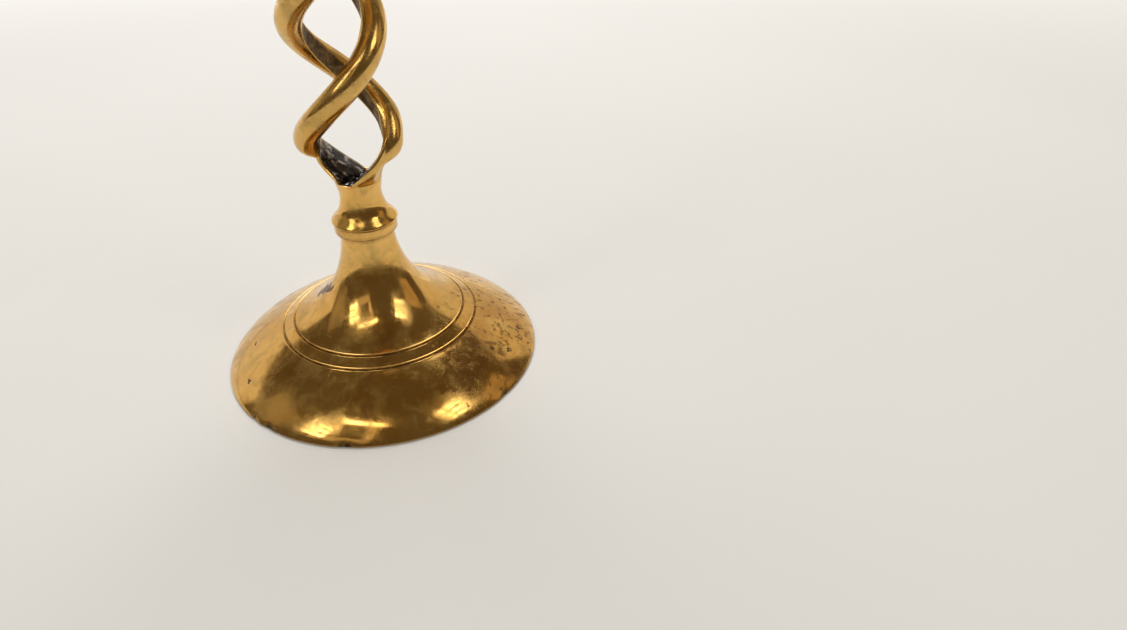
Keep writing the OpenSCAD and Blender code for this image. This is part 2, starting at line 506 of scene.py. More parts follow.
@dataclass(frozen=True)
class OldBrass:
    """Polished brass with a brown patina, freckles, scratches, grime and painted shade in its crevices, and
    as-cast inner faces.
    """

    gold: Colour = (0.85, 0.515, 0.155)
    honey: Colour = (0.76, 0.425, 0.105)
    russet: Colour = (0.56, 0.27, 0.075)
    olive: Colour = (0.44, 0.30, 0.095)
    freckle: Colour = (0.19, 0.08, 0.03)
    stain: Colour = (0.085, 0.04, 0.03)
    grime: Colour = (0.07, 0.045, 0.022)
    # The colour of the grime and painted shade in the crevices and nicks
    bronze: Colour = (0.28, 0.185, 0.085)
    umber: Colour = (0.095, 0.06, 0.032)
    solder: Colour = (0.40, 0.38, 0.37)
    soot: Colour = (0.045, 0.038, 0.04)
    shine: float = 0.095
    honey_patches: Cloud = Cloud(17, 3, 0.55, 0.6, 0.42, 0.66)
    russet_patches: Cloud = Cloud(24, 4, 0.6, 0.8, 0.52, 0.70, 0, 0.6)
    tarnish: Cloud = Cloud(6, 4, 0.62, 0.5, 0.42, 0.70, 0, 0.42)
    rod_tarnish: float = 0.30
    # Breaks up the grime and painted shade in the crevices
    dirt_and_shade: Cloud = Cloud(1.6, 3, 0.6, 0, 0.3, 0.6, 0.45, 1)
    cast_skin: Cloud = Cloud(3, 4, 0.65, 0.3, 0.38, 0.62)
    solder_pool: Cloud = Cloud(3.0, 3, 0.6, 0.4, 0.50, 0.64)
    smear: Cloud = Cloud(6, 5, 0.65, 0.4, 0.38, 0.66, 0, 0.12)
    scratches: tuple[Scratch, ...] = (
        Scratch(20, 9, 0.09, 0.70), Scratch(75, 6, 0.08, 0.71), Scratch(-40, 7, 0.10, 0.71),
    )
    freckle_share: float = 0.70
    freckle_area: Cloud = Cloud(14, 2, 0.5, 0, 0.36, 0.55, 0.2, 1)
    freckled_x: Fade = (0.016, 0.042, 0.12, 1)
    freckled_y: Fade = (-0.034, -0.022, 0.3, 1)
    freckled_z: Fade = (0.018, 0.04, 1, 0.35)
    rod_freckles: float = 0.12
    fine_freckle: Freckle = Freckle(2.3, 0.55, 0.09, 0.60, 0.74, 1)
    tiny_freckle: Freckle = Freckle(0.7, 0.6, 0.06, 0.66, 0.75, 0.6)
    stain_share: float = 0.90
    stain_core: float = 0.55
    stain_wobble: float = 5.0
    wobbles_per_metre: float = 700.0
    stains: tuple[Spot, ...] = (
        Spot(1, 51.4, 6.3, 1.5), Spot(-22, 45.9, 9.9, 1.3), Spot(-16, 50.2, 7.1, 1.0),
        Spot(20, 45.8, 10, 1.0), Spot(-16, 26.4, 20.6, 0.6), Spot(-166, 46, 9.9, 0.8),
        Spot(-146, 51.6, 6.1, 1.0), Spot(-27, 41.5, 12.4, 1.1), Spot(-30, 43.5, 11.4, 0.8),
        Spot(9, 50, 7.2, 0.8), Spot(-9, 47, 9.2, 0.9), Spot(-174, 18.4, 27.0, 3.3),
        Spot(-164, 16.6, 29.0, 2.6), Spot(-179, 20.8, 24.8, 2.4), Spot(-155, 15.8, 30.0, 1.8),
        Spot(6, 47.8, 8.7, 0.7), Spot(-4, 51.5, 6.2, 0.8), Spot(-20, 48.5, 8.3, 0.7),
        Spot(100, 44, 10.8, 1.2), Spot(150, 48, 8.6, 1.0),
    )

    def stained(self, s: Shader) -> Socket:
        """Adds the few large stains, with ragged edges.

        Args:
            s: the shader that receives them.

        Returns:
            Their common share.
        """
        wobble = s.node("ShaderNodeTexNoise", {
            "Vector": s.place, "Scale": self.wobbles_per_metre, "Detail": 3.0,
        }).outputs["Color"]
        centred = s.vector("SUBTRACT", {0: wobble, 1: (0.5, 0.5, 0.5)})
        shifted = s.vector("SCALE", {0: centred, "Scale": self.stain_wobble * MM})
        here = s.vector("ADD", {0: s.place, 1: shifted})
        total = None
        for stain in self.stains:
            gap = s.vector("DISTANCE", {0: here, 1: stain.middle()}, "Value")
            share = s.between(gap, stain.radius * self.stain_core * MM, stain.radius * MM, 1, 0)
            total = share if total is None else s.larger(total, share)
        return total

    def freckled(self, s: Shader, dull: Socket) -> Socket:
        """Adds the freckles, dense on the worn side of the foot.

        Args:
            s: the shader that receives them.
            dull: where the surface is a rod's.

        Returns:
            Their share.
        """
        worn_side = s.times(s.between(s.x, *self.freckled_x), s.between(s.y, *self.freckled_y))
        low = s.between(s.z, *self.freckled_z)
        area = s.times(s.times(s.cloud(self.freckle_area), worn_side), low)
        area = s.larger(area, s.times(dull, self.rod_freckles))
        fine, tiny = (
            s.between(s.plus(s.grain(f.size, 2, f.rough), s.times(area, f.gain)), f.low, f.high, 0, f.most)
            for f in (self.fine_freckle, self.tiny_freckle)
        )
        return s.larger(s.times(fine, s.between(area, 0, 0.35)), tiny)

    def material(self) -> bpy.types.Material:
        """Builds the material.

        Returns:
            The material, which reads from the mesh the numbers raw, tin and dull, and the share of grime and
            painted shade in the crevices.
        """
        s = Shader("old_brass", 1.0)
        raw, tin, grime, dull = (s.stored(name) for name in ("raw", "tin", "grime", "dull"))
        colour = s.blend(s.cloud(self.honey_patches), self.gold, self.honey)
        colour = s.blend(s.cloud(self.russet_patches), colour, self.russet)
        tarnish = s.plus(s.cloud(self.tarnish), s.times(dull, self.rod_tarnish))
        colour = s.blend(tarnish, colour, self.olive)
        freckles, stains = self.freckled(s, dull), self.stained(s)
        marks = s.larger(freckles, stains)
        colour = s.blend(s.times(freckles, self.freckle_share), colour, self.freckle)
        colour = s.blend(s.times(stains, self.stain_share), colour, self.stain)
        # Grime and painted shade: the crevices and nicks are darkened towards the grime colour
        dirt_and_shade = s.times(grime, s.cloud(self.dirt_and_shade))
        colour = s.blend(dirt_and_shade, colour, self.grime)
        cast = s.blend(s.cloud(self.cast_skin), self.umber, self.bronze)
        pool = s.blend(s.cloud(self.solder_pool), self.soot, self.solder)
        colour = s.blend(raw, colour, s.blend(tin, cast, pool))

        lines = s.scratches(self.scratches)
        untinned = s.times(raw, s.between(tin, 0, 1, 1, 0))
        tinned = s.times(raw, tin)
        rough = s.plus(s.cloud(self.smear), self.shine)
        # How much rougher each kind of wear is than clean polished metal
        for share, more in (
            (lines, 0.12), (marks, 0.22), (dirt_and_shade, 0.35), (tarnish, 0.10), (dull, 0.03), (untinned, 0.32),
            (tinned, 0.03),
        ):
            rough = s.plus(rough, s.times(share, more))

        lathe = s.node("ShaderNodeCombineXYZ", {0: s.around, 1: s.z}).outputs[0]
        lumpy = s.times(raw, s.between(tin, 0, 1, 0.3, 1))
        # Broad waves, hammer and polishing grain, lathe lines, and then what lies in the surface
        s.roughen(
            (s.grain(13, 1, 0.4), 0.045),
            (s.grain(3.4, 2, 0.5), 0.013),
            (s.grain(1.1, 3, 0.6), 0.0035),
            (s.grain(0.35, 2, 0.6, 0, lathe), 0.0014),
            (s.times(s.grain(2.6, 2, 0.5), dull), 0.03),
            (s.times(lines, -1.0), 0.0025),
            (s.times(marks, -1.0), 0.008),
            (s.times(s.grain(2.9, 2, 0.5, 0.3), lumpy), 0.5),
        )
        return s.dress(colour, rough)


@dataclass(frozen=True)
class CastBrass:
    """The unpolished hollow of the foot, brown and grainy from the sand mould."""

    pale: Colour = (0.40, 0.29, 0.13)
    dark: Colour = (0.16, 0.11, 0.055)
    patches: Cloud = Cloud(12, 4, 0.6, 0.3, 0.35, 0.65)
    roughness: Cloud = Cloud(5, 3, 0.6, 0, 0.3, 0.7, 0.42, 0.66)
    sand_size: float = 0.8
    sand_depth: float = 0.12
    lump_size: float = 4.0
    lump_depth: float = 0.25

    def material(self) -> bpy.types.Material:
        """Builds the material.

        Returns:
            The material.
        """
        s = Shader("cast_brass", 1.0)
        sand = s.grain(self.sand_size, 3, 0.6)
        colour = s.blend(s.cloud(self.patches), self.dark, self.pale)
        colour = s.blend(s.between(sand, 0.60, 0.72, 0, 0.5), colour, self.dark)
        s.roughen((sand, self.sand_depth), (s.grain(self.lump_size, 2, 0.5), self.lump_depth))
        return s.dress(colour, s.cloud(self.roughness))


@dataclass(frozen=True)
class Steel:
    """Dull steel of the hidden fasteners, with a little rust."""

    grey: Colour = (0.46, 0.45, 0.43)
    rust: Colour = (0.22, 0.11, 0.05)
    bloom: Cloud = Cloud(2.5, 4, 0.65, 0.4, 0.54, 0.70, 0, 0.75)
    shine: float = 0.34
    rust_roughness: float = 0.35
    grain_size: float = 0.4
    grain_depth: float = 0.02
    rust_depth: float = 0.03

    def material(self) -> bpy.types.Material:
        """Builds the material.

        Returns:
            The material.
        """
        s = Shader("steel", 1.0)
        bloom = s.cloud(self.bloom)
        s.roughen((s.grain(self.grain_size, 2, 0.6), self.grain_depth), (bloom, self.rust_depth))
        rough = s.plus(s.times(bloom, self.rust_roughness), self.shine)
        return s.dress(s.blend(bloom, self.grey, self.rust), rough)


@dataclass(frozen=True)
class Finishes:
    """The materials that the pieces share."""

    brass: bpy.types.Material
    cast: bpy.types.Material
    steel: bpy.types.Material


# Heights that the frame gives, in millimetres ---------------------------------

@dataclass(frozen=True)
class Heights:
    """Where the pieces meet along the axis, and the two widest radii."""

    foot_r: float
    boss: float
    neck_seat: float
    twist_base: float
    twist_top: float
    cup_seat: float
    cup_top: float
    rim_r: float

    @classmethod
    def read(cls) -> "Heights":
        """Measures the CAD nodes.

        Returns:
            The heights and radii.
        """
        foot, washer, rod, cup = (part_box(node) for node in ("foot", "foot_washer", "rod_a", "candle_cup"))
        return cls(
            foot_r=foot[1].x / MM,
            boss=washer[1].z / MM,
            neck_seat=foot[1].z / MM,
            twist_base=rod[0].z / MM,
            twist_top=rod[1].z / MM,
            cup_seat=cup[0].z / MM,
            cup_top=cup[1].z / MM,
            rim_r=cup[1].x / MM,
        )


# Turned pieces ----------------------------------------------------------------

@dataclass(frozen=True)
class Nick:
    """A small dent in the foot's edge: its direction in degrees, width and depth."""

    direction: float
    width: float
    depth: float


@dataclass
class Foot:
    """The hollow domed foot with its trumpet, two grooves and bored boss."""

    at: Heights
    rim_drop: float = 0.8
    rim_w: float = 3.2
    ring_in: float = 0.75
    wall: float = 2.8
    dome_lean: float = 0.35
    trumpet_lean: Point = (0.5, 0.9)
    dome_handles: tuple[Point, Point] = ((-0.1, 0.24), (0.6, -0.42))
    trumpet_handles: tuple[Point, Point] = ((-0.5, 0.165), (0.05, -0.57))
    groove_half: float = 0.45
    groove_depth: float = 0.5
    groove_lip: float = 0.045
    groove_into: Point = (-0.45, -0.89)
    groove_slope: float = 0.55
    groove_outer: Point = (35.2, 15.6)
    groove_inner: Point = (30.9, 18.2)
    groove_gap: float = 0.15
    trumpet_r: float = 9.1
    seat_edge: float = 0.25
    spigot_r: float = 5.9
    spigot_h: float = 6.0
    bore_r: float = 3.2
    boss_r: float = 7.0
    boss_fillet: float = 0.8
    dent_top: float = 4.0
    dent_tall: float = 1.3
    steps: int = 256
    nicks: tuple[Nick, ...] = (
        Nick(-124, 1.6, 0.45), Nick(-132, 1.1, 0.30), Nick(-120, 0.9, 0.25), Nick(-94, 2.4, 0.25),
        Nick(-33, 1.5, 0.30), Nick(58, 1.3, 0.35), Nick(143, 1.8, 0.30), Nick(171, 1.0, 0.35),
    )

    def dome(self, inset: float, steps: int) -> list[Point]:
        """Draws the dome's curve.

        Args:
            inset: how far it is moved in from the polished surface.
            steps: how many stretches it is cut into.

        Returns:
            Its points from the widest line up to the outer groove.
        """
        r, z = self.groove_outer
        low = Vector((self.at.foot_r - inset, self.rim_drop))
        high = Vector((r + self.groove_half - self.dome_lean * inset, z - 0.5 * self.groove_half - inset))
        return flank(low, high, self.dome_handles, steps)

    def trumpet(self, inset: float, steps: int) -> list[Point]:
        """Draws the trumpet's curve.

        Args:
            inset: how far it is moved in from the polished surface.
            steps: how many stretches it is cut into.

        Returns:
            Its points from the inner groove up to the neck's seat.
        """
        r, z = self.groove_inner
        in_by, down_by = (lean * inset for lean in self.trumpet_lean)
        low = Vector((r - self.groove_half - in_by, z + 0.5 * self.groove_half - down_by))
        high = Vector((self.trumpet_r - inset, self.at.neck_seat))
        return flank(low, high, self.trumpet_handles, steps)

    def groove(self, middle: Point) -> list[Point]:
        """Draws one turned groove, a round-bottomed cut between two slightly raised lips.

        Args:
            middle: its middle, on the uncut surface.

        Returns:
            Its points, inwards and up.
        """
        points = []
        reach, fineness, lip_at, lip_half = 1.5, 8, 1.05, 0.18
        for i in range(round(2 * reach * fineness) + 1):
            s = i / fineness - reach
            depth = self.groove_depth * math.cos(math.pi / 2 * min(1, abs(s))) ** 2
            lip = self.groove_lip * bell(abs(s) - lip_at, lip_half)
            along = Vector((-s * self.groove_half, self.groove_slope * s * self.groove_half))
            into = Vector(self.groove_into) * (depth - lip)
            points.append((middle[0] + along.x + into.x, middle[1] + along.y + into.y))
        return points

    def outside(self) -> list[Point]:
        """Draws the polished outline.

        Returns:
            Its points from the resting ring to the edge of the neck's seat.
        """
        r, seat, edge = self.at.foot_r, self.at.neck_seat, self.seat_edge
        turn_under = curve([(r - self.ring_in, 0), (r - 0.3, 0.02), (r - 0.02, 0.35), (r, self.rim_drop)], 6)
        outer, inner = self.groove(self.groove_outer), self.groove(self.groove_inner)
        (r_out, z_out), (r_in, z_in) = outer[-1], inner[0]
        band = [(mix(r_out, r_in, i / 8), mix(z_out, z_in, i / 8)) for i in range(1, 8)]
        dome = [p for p in self.dome(0, 44)[1:] if p[0] > outer[0][0] + self.groove_gap]
        trumpet = [p for p in self.trumpet(0, 48)[:-2] if p[0] < inner[-1][0] - self.groove_gap]
        return (
            turn_under + dome + outer + band + inner + trumpet
            + eased((self.trumpet_r - edge, seat - edge), 0, edge)
        )

    def inside(self) -> list[Point]:
        """Draws the as-cast outline.

        Returns:
            Its points from the seat through the bores and the hollow to the resting ring.
        """
        r, seat, boss = self.at.foot_r, self.at.neck_seat, self.at.boss
        shoulder = seat - self.spigot_h
        ring = r - self.rim_w
        hollow = [
            p for p in self.dome(self.wall, 20) + self.trumpet(self.wall, 24)
            if p[1] < boss - 1.5 and p[0] < ring - 0.6
        ]
        fillet = curve([
            hollow[-1], (hollow[-1][0] - 0.3, boss - 0.6), (self.boss_r + self.boss_fillet, boss),
            (self.boss_r, boss),
        ], 6)
        return (
            [(self.trumpet_r - self.seat_edge, seat), (self.spigot_r, seat), (self.spigot_r, shoulder),
             (self.bore_r, shoulder), (self.bore_r, boss)]
            + fillet[::-1] + hollow[::-1][1:]
            + [(ring - 0.6, 0.5), (ring - 0.3, 0), (r - self.ring_in, 0)]
        )

    def dent(self, point: Vector) -> float:
        """Measures what the nicks do to a point.

        Args:
            point: a point of the foot.

        Returns:
            How far they push it inwards.
        """
        inwards = self.at.foot_r - off_axis(point)
        if inwards > self.dent_top or point.z > self.dent_top:
            return 0.0
        near_edge = bell(point.z - self.rim_drop, self.dent_tall) * bell(max(0, inwards), 2)
        push = 0.0
        for nick in self.nicks:
            away = math.radians(nick.direction) - math.atan2(point.y, point.x)
            arc = math.atan2(math.sin(away), math.cos(away)) * self.at.foot_r
            push += nick.depth * bell(arc, nick.width) * near_edge
        return push

    def build(self, finishes: Finishes) -> list[Piece]:
        """Makes the foot.

        Args:
            finishes: the shared materials.

        Returns:
            The piece.
        """
        bm = turned(self.outside(), self.inside(), steps=self.steps)
        for vert in bm.verts:
            vert.co.xy *= 1 - self.dent(vert.co) / max(off_axis(vert.co), 0.1)
        across, down = self.groove_into
        # Grime and painted shade darken the two grooves, the joint with the neck, the resting ring and the
        # nicks
        rings = [
            (r + across * self.groove_depth, z + down * self.groove_depth, 0.46)
            for r, z in (self.groove_outer, self.groove_inner)
        ]
        near = in_crevices(rings + [(self.trumpet_r, self.at.neck_seat, 0.3), (self.at.foot_r - 0.4, 0, 0.6)])

        def grime(point: Vector) -> float:
            """Grime and painted shade in the crevices and in the nicks."""
            return max(near(point), clamp01(6 * self.dent(point)))

        paint(bm, grime=grime, raw=nowhere, tin=nowhere)
        return [finish_piece(bm, "domed_foot", "foot", [finishes.brass, finishes.cast])]


@dataclass
class Neck:
    """A turned neck with a flat band, a round knop and a waist."""

    at: Heights
    name: str
    node: str
    seat: float
    upside_down: bool
    band_r: float = 10.8
    band_h: float = 3.4
    quirk_in: float = 0.32
    quirk_up: float = 0.1
    knop_r: float = 11.3
    knop_h: float = 3.6
    waist_r: float = 7.1
    waist_share: float = 0.58
    root_r: float = 7.8
    edge: float = 0.3
    spigot_r: float = 5.8
    spigot_h: float = 6.0
    bore_r: float = 3.05
    thread: float = 9.0
    valley_angle: float = -117.0
    lip_out: float = 0.30
    lip_up: float = 0.50
    lip_tall: float = 0.45
    lump: float = 0.45
    lump_size: float = 1.6
    steps: int = 160

    @property
    def height(self) -> float:
        """The neck's height between its seat and the rods."""
        return self.at.twist_base - self.at.neck_seat

    def outline(self) -> list[Point]:
        """Draws the whole outline.

        Returns:
            Its points from the bottom of the tapped hole to the middle of the rods' roots.
        """
        top, bottom = self.height, self.thread - self.spigot_h
        band, root, waist = self.band_r, self.root_r, self.waist_r
        knop_z = self.band_h + 0.22
        tip = Vector((waist + 1.9, self.band_h + self.knop_h))
        lean = Vector((-1, 1.25))
        waist_z = mix(tip.y, top, self.waist_share)
        return (
            [(0, bottom), (self.bore_r, bottom), (self.bore_r, -self.spigot_h),
             (self.spigot_r, -self.spigot_h), (self.spigot_r, 0)]
            + eased((band - self.edge, self.edge), -90, self.edge)
            + [(band + 0.04, self.band_h / 2)]
            + eased((band - 0.2, self.band_h - 0.2), 0, 0.2)
            + [(band - self.quirk_in, self.band_h + self.quirk_up)]
            + curve([(band - 0.2, knop_z), (self.knop_r + 1.25, knop_z + 0.1), tip - 1.15 * lean, tip], 26)
            + curve([tip, tip + lean, (waist, waist_z - 2.5), (waist, waist_z)], 26)[1:]
            + curve([(waist, waist_z), (waist, waist_z + 1.5), (root - 0.12, top - 1.5), (root, top)], 26)[1:]
            + [(root - 0.12, top + 0.08), (root - 0.3, top + 0.08), (root - 0.5, top),
               (root - 0.7, top - 0.16)]
            + [((root - 0.9) * (1 - i / 16), top - 0.3) for i in range(17)]
        )

    def swell_lip(self, bm: bmesh.types.BMesh) -> None:
        """Swells the neck's edge in the two valleys between the rods.

        Args:
            bm: the neck's mesh.
        """
        for vert in bm.verts:
            radius = off_axis(vert.co)
            if vert.co.z > self.height - 0.9 and radius > self.root_r - 0.8:
                facing = math.cos(2 * (math.atan2(vert.co.y, vert.co.x) - math.radians(self.valley_angle)))
                swell = max(0.0, facing) ** 1.5 * bell(vert.co.z - self.height, self.lip_tall)
                vert.co.xy *= 1 + self.lip_out * swell / radius
                vert.co.z += self.lip_up * swell

    def build(self, finishes: Finishes) -> list[Piece]:
        """Makes the neck.

        Args:
            finishes: the shared materials.

        Returns:
            The piece.
        """
        bm = turned(self.outline(), steps=self.steps)
        self.swell_lip(bm)
        soldered = set()
        for vert in bm.verts:
            if vert.co.z > self.height - 0.5 and off_axis(vert.co) < self.root_r - 0.5:
                vert.co.z += self.lump * noise.noise(vert.co / self.lump_size) + 0.2
                soldered.add(tuple(vert.co))
        quirk = (self.band_r - self.quirk_in, self.band_h + self.quirk_up, 0.3)

        def in_solder(point: Vector) -> float:
            """Whether a point lies on the solder."""
            return float(tuple(point) in soldered)

        # Grime and painted shade darken the quirk under the knop and the joint at the seat
        paint(bm, grime=in_crevices([quirk, (self.band_r, 0, 0.3)]), raw=in_solder, tin=in_solder)
        if self.upside_down:
            bmesh.ops.scale(bm, vec=(1, 1, -1), verts=bm.verts)
            bmesh.ops.recalc_face_normals(bm, faces=bm.faces)
        bmesh.ops.translate(bm, vec=(0, 0, self.seat), verts=bm.verts)
        return [finish_piece(bm, self.name, self.node, [finishes.brass])]


@dataclass
class CandleCup:
    """The turned cup with its candle bore, flared dish and rim."""

    at: Heights
    band_r: float = 10.8
    ring_h: float = 2.2
    stem_r: float = 8.2
    stem_h: float = 7.0
    bead_r: float = 0.7
    body_r: float = 16.5
    body_share: float = 0.46
    throat_r: float = 13.6
    candle_r: float = 11.1
    candle_depth: float = 27.0
    dish_depth: float = 7.0
    edge: float = 0.3
    spigot_r: float = 5.9
    spigot_h: float = 6.0
    bore_r: float = 3.05
    thread: float = 9.0
    soot_share: float = 0.75
    steps: int = 224

    @property
    def height(self) -> float:
        """The cup's height."""
        return self.at.cup_top - self.at.cup_seat

    def outline(self) -> list[Point]:
        """Draws the whole outline.

        Returns:
            Its points from the tapped hole round the outside to the candle bore.
        """
        top, rim, edge = self.height, self.at.rim_r, self.edge
        stem, body, throat, candle = self.stem_r, self.body_r, self.throat_r, self.candle_r
        ring_z = self.ring_h + 0.4
        stem_z = ring_z + self.stem_h
        body_z = mix(stem_z, top, self.body_share)
        dish_z = top - self.dish_depth
        throat_z = dish_z - 3.5
        bead = (stem + 1.2, stem_z + 1)
        blind = self.spigot_h + self.thread
        return (
            [(0, blind), (self.bore_r, blind), (self.bore_r, self.spigot_h), (self.spigot_r, self.spigot_h),
             (self.spigot_r, 0)]
            + eased((self.band_r - edge, edge), -90, edge)
            + eased((self.band_r - edge, self.ring_h - edge), 0, edge)
            + curve([(self.band_r - 0.8, ring_z), (stem, ring_z + 1), (stem, stem_z - 3), (stem, stem_z)], 20)
            + eased(bead, -90, self.bead_r, 6)
            + eased(bead, 0, self.bead_r, 6)[1:]
            + curve([(stem + 0.9, stem_z + 2), (body - 1.5, stem_z + 4), (body, body_z - 9),
                     (body, body_z)], 32)
            + curve([(body, body_z), (body, body_z + 7), (throat, throat_z - 7), (throat, throat_z)], 24)[1:]
            + curve([(throat, throat_z), (throat, throat_z + 4.5), (rim - 6, top - 3),
                     (rim - 0.45, top - 1.75)], 28)[1:]
            + curve([(rim - 0.45, top - 1.75), (rim + 0.05, top - 1.55), (rim + 0.15, top - 0.15),
                     (rim - 1, top)], 10)[1:]
            + curve([(rim - 1, top), (rim - 5, top - 0.9), (candle + 1.5, top - 2.2),
                     (candle, dish_z)], 26)[1:]
            + [(candle, dish_z - self.candle_depth), (0, dish_z - self.candle_depth)]
        )

    def build(self, finishes: Finishes) -> list[Piece]:
        """Makes the cup.

        Args:
            finishes: the shared materials.

        Returns:
            The piece.
        """
        bm = turned(self.outline(), steps=self.steps)
        dish_z = self.height - self.dish_depth
        # Grime and painted shade darken the joint at the seat, the corner above the ring and both sides of
        # the bead
        near = in_crevices([
            (self.band_r, 0, 0.45), (self.band_r - 1.2, self.ring_h + 0.6, 0.6),
            (self.stem_r + 0.3, self.ring_h + 7.3, 0.6), (self.stem_r + 1, self.ring_h + 9.3, 0.5),
        ])

        def grime(point: Vector) -> float:
            """Grime and painted shade in the crevices, and soot down the candle bore."""
            soot = self.soot_share * clamp01((dish_z - point.z) / 4)
            in_bore = off_axis(point) < self.candle_r + 0.2 and point.z > dish_z - self.candle_depth - 0.1
            return max(near(point), soot if in_bore else 0.0)

        paint(bm, grime=grime, raw=nowhere, tin=nowhere)
        bmesh.ops.translate(bm, vec=(0, 0, self.at.cup_seat), verts=bm.verts)
        return [finish_piece(bm, "flared_candle_cup", "candle_cup", [finishes.brass])]


# The twist --------------------------------------------------------------------

@dataclass(frozen=True)
class Press:
    """A place where bending pressed a rod flatter, or fuller if its depth is negative."""

    height: float
    reach: float
    depth: float
    facing: float = 0.4

    def at(self, q: float, h: float) -> float:
        """How deep it is at a direction in the section and a height."""
        return self.depth * bell(h - self.height, self.reach) * max(0.0, math.cos(q - self.facing))


@dataclass
class Rod:
    """One of the two rods of the open twist, from a half-round root to a half-round root."""

    at: Heights
    name: str
    node: str
    turn_by: float
    presses: tuple[Press, ...]
    half_pitch: float = 35.5
    twist_r: float = 12.2
    rod_r: float = 4.15
    root_r: float = 7.8
    root_split: float = 1.0
    root_flare: float = 1.5
    chord: float = 0.80
    ridge_soft: float = 0.03
    bulge: float = 1.0
    bulge_at: float = 19.0
    bulge_half: float = 5.5
    start_angle: float = 153.0
    gather_angle: float = 40.0
    gather_h: float = 20.0
    spread_h: float = 13.0
    round_h: float = 10.0
    hollow_h: float = 18.0
    tilt_h: float = 12.0
    tin_from: float = 7.0
    tin_over: float = 9.0
    wave: float = 0.10
    wave_size: float = 9.0
    cast: float = 0.16
    cast_at_neck: float = 0.3
    cast_size: float = 1.7
    crowding: float = 0.25
    sides: int = 96
    rings: int = 240

    @property
    def height(self) -> float:
        """The rod's height."""
        return self.at.twist_top - self.at.twist_base

    @property
    def ridge(self) -> float:
        """The direction in the section where the round side meets the flat one."""
        return math.pi - math.acos(self.chord)

    def from_neck(self, h: float) -> float:
        """The distance to the nearer neck."""
        return min(h, self.height - h)

    def reach(self, h: float) -> float:
        """How far the rod's middle is from the axis at a height."""
        u = self.from_neck(h)
        out = self.twist_r * math.sin(math.pi / 2 * clamp01(u / self.spread_h)) ** 1.5
        return out + self.bulge * bell(u - self.bulge_at, self.bulge_half)

    def lag(self, u: float) -> float:
        """The angle by which the twist is behind near a neck, in degrees."""
        return self.gather_angle * (1 - clamp01(u / self.gather_h)) ** 1.4

    def angle(self, h: float) -> float:
        """The rod's direction from the axis at a height, in radians."""
        regular = self.start_angle - self.gather_angle + h * 180 / self.half_pitch
        return math.radians(regular + self.lag(h) - self.lag(self.height - h))

    def middle(self, h: float) -> Vector:
        """The rod's middle at a height."""
        a, r = self.angle(h), self.reach(h)
        return Vector((r * math.cos(a), r * math.sin(a), self.at.twist_base + h))

    def axes(self, h: float) -> tuple[Vector, Vector]:
        """Finds how the rod's section is turned.

        Args:
            h: the height above the lower neck.

        Returns:
            The directions away from the axis and sideways in the section.
        """
        along = (self.middle(min(self.height, h + 0.2)) - self.middle(max(0, h - 0.2))).normalized()
        up = Vector((0, 0, 1)).lerp(along, clamp01(self.from_neck(h) / self.tilt_h)).normalized()
        a = self.angle(h)
        out = Vector((math.cos(a), math.sin(a), 0))
        out = (out - out.dot(up) * up).normalized()
        return out, up.cross(out)

    def full_section(self, q: float) -> Vector:
        """Draws the full section: round outside, cut flat inside with soft ridges.

        Args:
            q: a direction in the section.

        Returns:
            Its point in that direction.
        """
        flat = self.chord / max(1e-4, -math.cos(q))
        near = max(0.0, self.ridge_soft - abs(1 - flat)) / self.ridge_soft
        radius = min(1, flat) - near * near * self.ridge_soft / 4
        return self.rod_r * radius * Vector((math.cos(q), math.sin(q)))

    def root_section(self, q: float) -> Vector:
        """Draws the section at a neck, which is half of the neck's own circle.

        Args:
            q: a direction in the section.

        Returns:
            Its point in that direction.
        """
        reach = math.acos((self.root_split + self.root_flare) / self.root_r)
        if abs(q) <= self.ridge:
            a = q * reach / self.ridge
            return self.root_r * Vector((math.cos(a), math.sin(a)))
        across = math.copysign((math.pi - abs(q)) / (math.pi - self.ridge), q)
        flare = self.root_split + self.root_flare * across ** 2
        return Vector((flare, self.root_r * math.sin(reach) * across))

    def on_flat(self, q: float) -> float:
        """The share of as-cast surface at a direction in the section."""
        return ease((abs(q) - self.ridge - 0.02) / 0.08)

    def surface(self, q: float, h: float) -> Vector:
        """Finds a point of the surface, with the small unevenness of hand work.

        Args:
            q: a direction in the section.
            h: the height above the lower neck.

        Returns:
            The point.
        """
        inner_side = ease((abs(q) - 1.0) / (self.ridge - 1.0))
        full = ease(self.from_neck(h) / mix(self.round_h, self.hollow_h, inner_side))
        section = self.root_section(q).lerp(self.full_section(q), full)
        out, side = self.axes(h)
        offset = section.x * out + section.y * side
        point = self.middle(h) + offset
        wave = self.wave * noise.noise(point / self.wave_size) * clamp01(self.from_neck(h) / 3)
        cast = self.cast + self.cast_at_neck * (1 - full)
        cast *= self.on_flat(q) * noise.noise(point / self.cast_size)
        return point + offset.normalized() * (wave + cast - sum(press.at(q, h) for press in self.presses))

    def build(self, finishes: Finishes) -> list[Piece]:
        """Sweeps the rod.

        Args:
            finishes: the shared materials.

        Returns:
            The piece.
        """
        bm = bmesh.new()
        raw, tin, grime, dull = (bm.verts.layers.float.new(name) for name in ("raw", "tin", "grime", "dull"))
        bmesh.ops.create_circle(bm, segments=self.sides, radius=1, cap_ends=False)
        swing(bm, 0.5 * math.tau / self.sides)
        bmesh.ops.spin(
            bm, geom=bm.verts[:] + bm.edges[:], cent=(0, 0, 0), axis=(0, 0, 1), angle=0,
            dvec=(0, 0, self.height / self.rings), steps=self.rings, use_merge=False, use_duplicate=False,
        )
        bmesh.ops.holes_fill(bm, edges=bm.edges, sides=0)
        bmesh.ops.recalc_face_normals(bm, faces=bm.faces)
        for vert in bm.verts:
            q, h = math.atan2(vert.co.y, vert.co.x), vert.co.z
